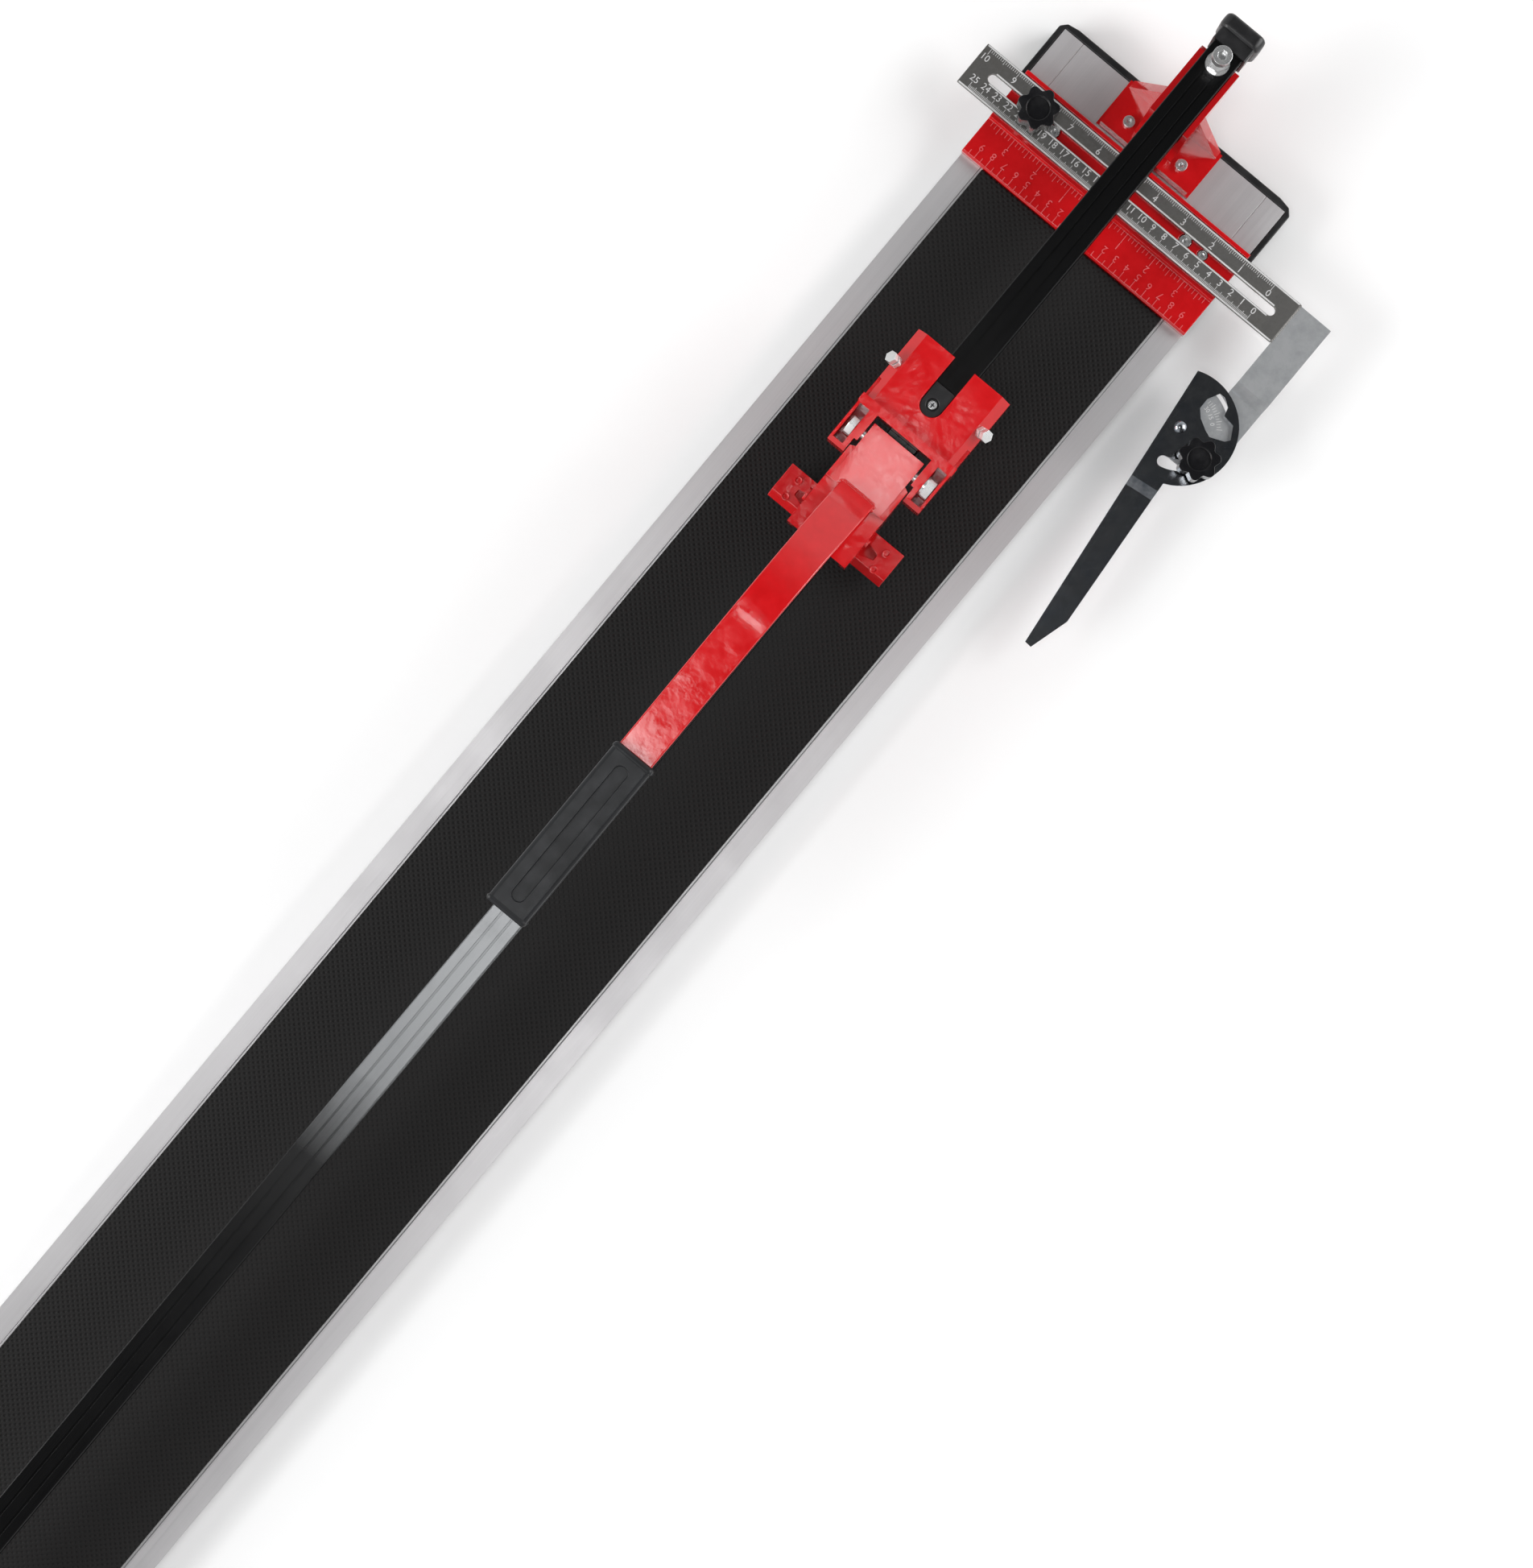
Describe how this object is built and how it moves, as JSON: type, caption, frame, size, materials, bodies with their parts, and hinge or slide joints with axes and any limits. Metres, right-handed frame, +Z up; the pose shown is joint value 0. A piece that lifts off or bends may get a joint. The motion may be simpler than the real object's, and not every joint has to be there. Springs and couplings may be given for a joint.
{
  "type": "manual tile cutter",
  "caption": "Manual tile cutter: padded aluminium bed, rail with sliding scoring carriage and breaking handle, ruled end fence, sliding gauge bar with swinging angle arm.",
  "frame": {"origin": "middle of the bed's footprint, on the surface it stands on", "axes": "+X along the rail towards the ruled fence and gauge, +Y across the bed away from the angle arm, +Z up"},
  "size_m": [1.6148, 0.3118, 0.1777],
  "materials": {
    "red_paint": "glossy red powder coat",
    "anodised_aluminium": "satin anodised",
    "black_rail": "satin black anodised",
    "bed_rubber": "dimpled black foam rubber",
    "grip_rubber": "soft black grip",
    "black_plastic": "moulded black",
    "knob_plastic": "glossy black",
    "bright_steel": "zinc plated",
    "polished_steel": "polished",
    "dark_steel": "dark satin, etched scale"
  },
  "bodies": {
    "bed": {"bed_extrusion": "anodised_aluminium", "bed_cap_head": "black_plastic", "bed_cap_tail": "black_plastic", "foot_head": "bed_rubber", "foot_middle": "bed_rubber", "foot_tail": "bed_rubber", "pad_left": "bed_rubber", "pad_right": "bed_rubber", "breaking_ridge": "bright_steel", "rail": "black_rail", "rail_cap_head": "black_plastic", "rail_cap_tail": "black_plastic", "rail_bracket_head": "red_paint", "rail_bracket_tail": "red_paint", "ruler_casting": "red_paint", "gauge_stud": "bright_steel", "height_nut_head": "bright_steel", "height_screw_head": "bright_steel", "bracket_bolt_left_head": "bright_steel", "bracket_bolt_right_head": "bright_steel", "height_nut_tail": "bright_steel", "height_screw_tail": "bright_steel", "bracket_bolt_left_tail": "bright_steel", "bracket_bolt_right_tail": "bright_steel", "ruler_screw_1": "bright_steel", "ruler_screw_2": "bright_steel", "ruler_screw_3": "bright_steel"},
    "carriage": {"carriage_body": "red_paint", "wiper": "black_plastic", "wiper_screw": "bright_steel", "wheel_holder": "bright_steel", "wheel_axle": "bright_steel", "pivot_bolt": "bright_steel", "pivot_nut": "bright_steel", "adjusting_screw_left": "bright_steel", "adjusting_screw_right": "bright_steel", "lock_nut_left": "bright_steel", "lock_nut_right": "bright_steel", "roller_axle_1": "bright_steel", "roller_axle_2": "bright_steel", "roller_axle_3": "bright_steel", "roller_axle_4": "bright_steel"},
    "handle": {"handle_fork": "red_paint", "handle_bar": "red_paint", "handle_grip": "grip_rubber", "shoe_pin": "red_paint"},
    "gauge": {"gauge_bar": "dark_steel", "offset_plate": "polished_steel", "angle_rivet": "polished_steel", "angle_stud": "bright_steel"},
    "gauge_knob": {"gauge_knob": "knob_plastic"},
    "angle_arm": {"angle_arm": "polished_steel"},
    "angle_knob": {"angle_knob": "knob_plastic"},
    "scoring_wheel": {"scoring_wheel": "polished_steel"},
    "breaking_shoe": {"breaking_shoe": "red_paint"},
    "roller_1": {"roller_1": "bright_steel"},
    "roller_2": {"roller_2": "bright_steel"},
    "roller_3": {"roller_3": "bright_steel"},
    "roller_4": {"roller_4": "bright_steel"}
  },
  "joints": [
    {"name": "carriage_slide", "type": "slide", "parent": "bed", "child": "carriage", "axis": [1, 0, 0], "range_m": [-1.06, 0.145]},
    {"name": "handle_lift", "type": "hinge", "parent": "carriage", "child": "handle", "pos_m": [0.4301, 0, 0.1055], "axis": [0, 1, 0], "range_deg": [0, 60]},
    {"name": "shoe_tilt", "type": "hinge", "parent": "handle", "child": "breaking_shoe", "pos_m": [0.3763, 0, 0.1043], "axis": [0, 1, 0], "range_deg": [-10, 10]},
    {"name": "wheel_spin", "type": "hinge", "parent": "carriage", "child": "scoring_wheel", "pos_m": [0.471, 0, 0.047], "axis": [0, 1, 0], "continuous": true},
    {"name": "gauge_slide", "type": "slide", "parent": "bed", "child": "gauge", "axis": [0, 1, 0], "range_m": [-0.036, 0.07]},
    {"name": "gauge_knob_turn", "type": "hinge", "parent": "bed", "child": "gauge_knob", "pos_m": [0.683, 0.0759, 0.05], "axis": [0, 0, 1], "continuous": true},
    {"name": "angle_arm_turn", "type": "hinge", "parent": "gauge", "child": "angle_arm", "pos_m": [0.5823, -0.1386, 0.033], "axis": [0, 0, 1], "range_deg": [-7, 45]},
    {"name": "angle_knob_turn", "type": "hinge", "parent": "gauge", "child": "angle_knob", "pos_m": [0.57015, -0.16215, 0.045], "axis": [0, 0, 1], "continuous": true},
    {"name": "roller_1_spin", "type": "hinge", "parent": "carriage", "child": "roller_1", "pos_m": [0.4615, -0.0149, 0.084], "axis": [0, 0, 1], "continuous": true},
    {"name": "roller_2_spin", "type": "hinge", "parent": "carriage", "child": "roller_2", "pos_m": [0.4615, 0.0149, 0.084], "axis": [0, 0, 1], "continuous": true},
    {"name": "roller_3_spin", "type": "hinge", "parent": "carriage", "child": "roller_3", "pos_m": [0.4985, -0.0149, 0.084], "axis": [0, 0, 1], "continuous": true},
    {"name": "roller_4_spin", "type": "hinge", "parent": "carriage", "child": "roller_4", "pos_m": [0.4985, 0.0149, 0.084], "axis": [0, 0, 1], "continuous": true}
  ],
  "couplings": [
    {"joint": "roller_1_spin", "follows": "carriage_slide", "rad_per_m": 153.85},
    {"joint": "roller_2_spin", "follows": "carriage_slide", "rad_per_m": -153.85},
    {"joint": "roller_3_spin", "follows": "carriage_slide", "rad_per_m": 153.85},
    {"joint": "roller_4_spin", "follows": "carriage_slide", "rad_per_m": -153.85}
  ]
}
